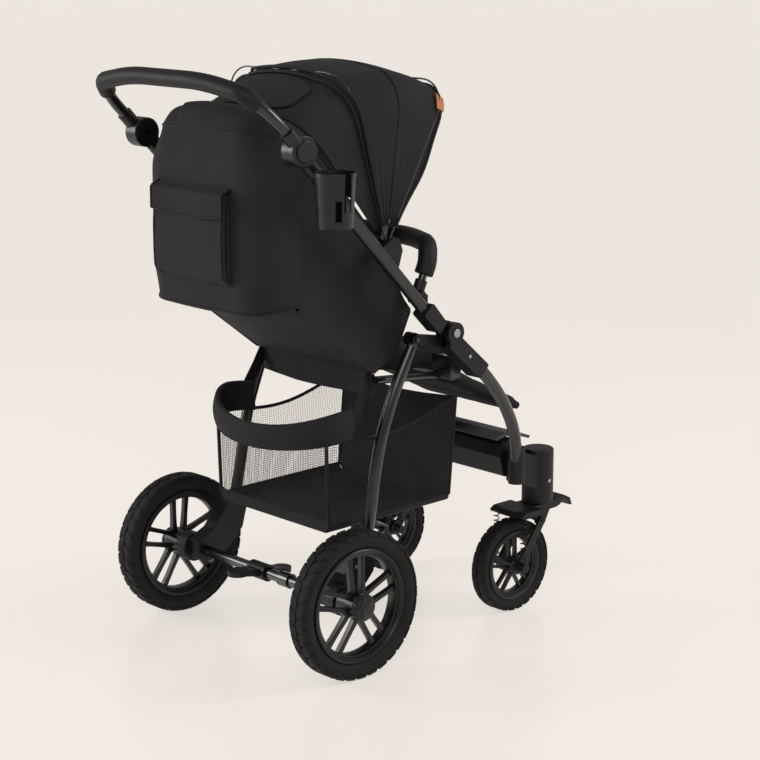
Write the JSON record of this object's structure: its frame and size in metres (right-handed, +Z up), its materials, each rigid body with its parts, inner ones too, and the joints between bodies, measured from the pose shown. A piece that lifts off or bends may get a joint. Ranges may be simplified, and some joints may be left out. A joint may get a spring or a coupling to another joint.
{
  "type": "baby stroller",
  "caption": "Folding baby stroller with reclining seat, folding canopy, swinging handle, shopping basket, sprung swivel front wheels and rear foot brake.",
  "frame": {"origin": "on the floor midway between the rear wheels' contact points, under the rear axle", "axes": "+Z up, -Y towards the front of the stroller, -X the pusher's right, the side with the cup holder"},
  "size_m": [0.6358, 0.906, 1.1521],
  "materials": {
    "frame_paint": "satin powder coat",
    "moulding": "textured",
    "smooth_plastic": "satin",
    "fabric": "woven",
    "padding": "quilted",
    "foam": "foam skin",
    "tyre": "moulded rubber",
    "wheel": "satin",
    "spring_steel": "black coated",
    "steel": "brushed",
    "tread_plate": "matt"
  },
  "bodies": {
    "front_frame": {"front_legs": "frame_paint", "fold_housings": "moulding", "fold_pins": "steel", "swivel_housings": "moulding", "footrest_beam": "moulding", "footrest_tread": "tread_plate", "seat_frame": "frame_paint", "seat_pad": "padding", "harness": "fabric", "basket": "fabric", "basket_rim": "padding"},
    "push_frame": {"push_tubes": "frame_paint", "fold_knuckles": "moulding", "handle_hubs": "smooth_plastic", "cup_holder": "smooth_plastic", "cup_clamp": "moulding", "canopy_clips": "moulding", "canopy_rear": "fabric", "back_box": "fabric", "back_pocket": "fabric", "side_panels": "fabric"},
    "handle": {"handle_bar": "frame_paint", "handle_foam": "foam", "hub_covers": "smooth_plastic"},
    "button_right": {"hub_button_right": "smooth_plastic"},
    "button_left": {"hub_button_left": "smooth_plastic"},
    "canopy_mid_carrier": {"canopy_mid_carriers": "frame_paint"},
    "canopy_mid_section": {"canopy_mid_hoop": "frame_paint", "canopy_mid": "fabric"},
    "canopy_front_carrier": {"canopy_front_carriers": "frame_paint"},
    "canopy_front_section": {"canopy_front_hoop": "frame_paint", "canopy_front": "fabric"},
    "bumper_mount": {"bumper_sockets": "moulding"},
    "bumper": {"bumper_bar": "frame_paint", "bumper_pad": "foam"},
    "seat_back": {"back_plate": "moulding", "back_pad": "padding"},
    "leg_rest": {"legrest": "padding"},
    "rear_frame": {"rear_legs": "frame_paint", "foot_brackets": "moulding", "rear_axle": "frame_paint"},
    "pedal": {"brake_pedal": "moulding"},
    "pin_right": {"brake_pin_right": "steel"},
    "pin_left": {"brake_pin_left": "steel"},
    "rear_wheel_right": {"rear_tyre_right": "tyre", "rear_rim_right": "wheel"},
    "swivel_right": {"caster_yoke_right": "moulding", "caster_springs_right": "spring_steel"},
    "swivel_lock_right": {"swivel_lever_right": "moulding"},
    "link_right": {"caster_link_right": "moulding"},
    "front_wheel_right": {"front_tyre_right": "tyre", "front_rim_right": "wheel"},
    "rear_wheel_left": {"rear_tyre_left": "tyre", "rear_rim_left": "wheel"},
    "swivel_left": {"caster_yoke_left": "moulding", "caster_springs_left": "spring_steel"},
    "swivel_lock_left": {"swivel_lever_left": "moulding"},
    "link_left": {"caster_link_left": "moulding"},
    "front_wheel_left": {"front_tyre_left": "tyre", "front_rim_left": "wheel"}
  },
  "joints": [
    {"name": "frame_fold", "type": "hinge", "parent": "front_frame", "child": "push_frame", "pos_m": [0, -0.285, 0.628], "axis": [1, 0, 0], "range_deg": [0, 140]},
    {"name": "rear_leg_fold", "type": "hinge", "parent": "front_frame", "child": "rear_frame", "pos_m": [0, -0.21, 0.62], "axis": [1, 0, 0], "range_deg": [-36.5, 0]},
    {"name": "canopy_mid_stow", "type": "hinge", "parent": "push_frame", "child": "canopy_mid_carrier", "pos_m": [0, -0.153, 0.81], "axis": [1, 0, 0], "range_deg": [-20.5, 0]},
    {"name": "canopy_mid_turn", "type": "hinge", "parent": "canopy_mid_carrier", "child": "canopy_mid_section", "pos_m": [0, -0.153, 0.81], "axis": [1, 0, 0], "range_deg": [-20, 0]},
    {"name": "canopy_front_stow", "type": "hinge", "parent": "canopy_mid_section", "child": "canopy_front_carrier", "pos_m": [0, -0.153, 0.81], "axis": [1, 0, 0], "range_deg": [-21.5, 0]},
    {"name": "canopy_front_turn", "type": "hinge", "parent": "canopy_front_carrier", "child": "canopy_front_section", "pos_m": [0, -0.153, 0.81], "axis": [1, 0, 0], "range_deg": [-21, 0]},
    {"name": "bumper_tilt", "type": "hinge", "parent": "push_frame", "child": "bumper_mount", "pos_m": [0, -0.227, 0.7], "axis": [1, 0, 0], "range_deg": [-40.5, 0]},
    {"name": "bumper_release", "type": "slide", "parent": "bumper_mount", "child": "bumper", "axis": [0, -0.4226, 0.9063], "range_m": [0, 0.05]},
    {"name": "recline", "type": "hinge", "parent": "push_frame", "child": "seat_back", "pos_m": [0, -0.15, 0.578], "axis": [1, 0, 0], "range_deg": [0, 28]},
    {"name": "legrest_tilt", "type": "hinge", "parent": "front_frame", "child": "leg_rest", "pos_m": [0, -0.372, 0.518], "axis": [1, 0, 0], "range_deg": [-25, 6]},
    {"name": "handle_swing", "type": "hinge", "parent": "push_frame", "child": "handle", "pos_m": [0, 0.097, 1.008], "axis": [1, 0, 0], "range_deg": [-55, 40]},
    {"name": "button_right_press", "type": "slide", "parent": "handle", "child": "button_right", "axis": [1, 0, 0], "range_m": [0, 0.004], "stiffness_N_per_m": 400, "springref_m": -0.003},
    {"name": "button_left_press", "type": "slide", "parent": "handle", "child": "button_left", "axis": [-1, 0, 0], "range_m": [0, 0.004], "stiffness_N_per_m": 400, "springref_m": -0.003},
    {"name": "brake", "type": "hinge", "parent": "rear_frame", "child": "pedal", "pos_m": [0, 0, 0.145], "axis": [1, 0, 0], "range_deg": [0, 18]},
    {"name": "brake_pin_right_slide", "type": "slide", "parent": "rear_frame", "child": "pin_right", "axis": [-1, 0, 0], "range_m": [0, 0.0056]},
    {"name": "brake_pin_left_slide", "type": "slide", "parent": "rear_frame", "child": "pin_left", "axis": [1, 0, 0], "range_m": [0, 0.0056]},
    {"name": "rear_wheel_right_spin", "type": "hinge", "parent": "rear_frame", "child": "rear_wheel_right", "pos_m": [-0.275, 0, 0.145], "axis": [1, 0, 0], "continuous": true},
    {"name": "swivel_right_turn", "type": "hinge", "parent": "front_frame", "child": "swivel_right", "pos_m": [-0.19, -0.587, 0.26], "axis": [0, 0, 1], "continuous": true},
    {"name": "swivel_lock_right_press", "type": "hinge", "parent": "swivel_right", "child": "swivel_lock_right", "pos_m": [-0.19, -0.636, 0.212], "axis": [1, 0, 0], "range_deg": [0, 15]},
    {"name": "suspension_right", "type": "hinge", "parent": "swivel_right", "child": "link_right", "pos_m": [-0.19, -0.572, 0.186], "axis": [1, 0, 0], "range_deg": [0, 5], "stiffness_Nm_per_rad": 30, "springref_deg": -6.88, "deforming": ["caster_springs_right"]},
    {"name": "front_wheel_right_spin", "type": "hinge", "parent": "link_right", "child": "front_wheel_right", "pos_m": [-0.19, -0.508, 0.0975], "axis": [1, 0, 0], "continuous": true},
    {"name": "rear_wheel_left_spin", "type": "hinge", "parent": "rear_frame", "child": "rear_wheel_left", "pos_m": [0.275, 0, 0.145], "axis": [1, 0, 0], "continuous": true},
    {"name": "swivel_left_turn", "type": "hinge", "parent": "front_frame", "child": "swivel_left", "pos_m": [0.19, -0.587, 0.26], "axis": [0, 0, 1], "continuous": true},
    {"name": "swivel_lock_left_press", "type": "hinge", "parent": "swivel_left", "child": "swivel_lock_left", "pos_m": [0.19, -0.636, 0.212], "axis": [1, 0, 0], "range_deg": [0, 15]},
    {"name": "suspension_left", "type": "hinge", "parent": "swivel_left", "child": "link_left", "pos_m": [0.19, -0.572, 0.186], "axis": [1, 0, 0], "range_deg": [0, 5], "stiffness_Nm_per_rad": 30, "springref_deg": -6.88, "deforming": ["caster_springs_left"]},
    {"name": "front_wheel_left_spin", "type": "hinge", "parent": "link_left", "child": "front_wheel_left", "pos_m": [0.19, -0.508, 0.0975], "axis": [1, 0, 0], "continuous": true}
  ],
  "couplings": [
    {"joint": "rear_leg_fold", "follows": "frame_fold", "ratio": -0.257},
    {"joint": "canopy_mid_stow", "follows": "frame_fold", "ratio": -0.1429},
    {"joint": "canopy_front_stow", "follows": "frame_fold", "ratio": -0.15},
    {"joint": "bumper_tilt", "follows": "frame_fold", "ratio": -0.2857},
    {"joint": "brake_pin_right_slide", "follows": "brake", "m_per_rad": 0.0175},
    {"joint": "brake_pin_left_slide", "follows": "brake", "m_per_rad": 0.0175}
  ]
}
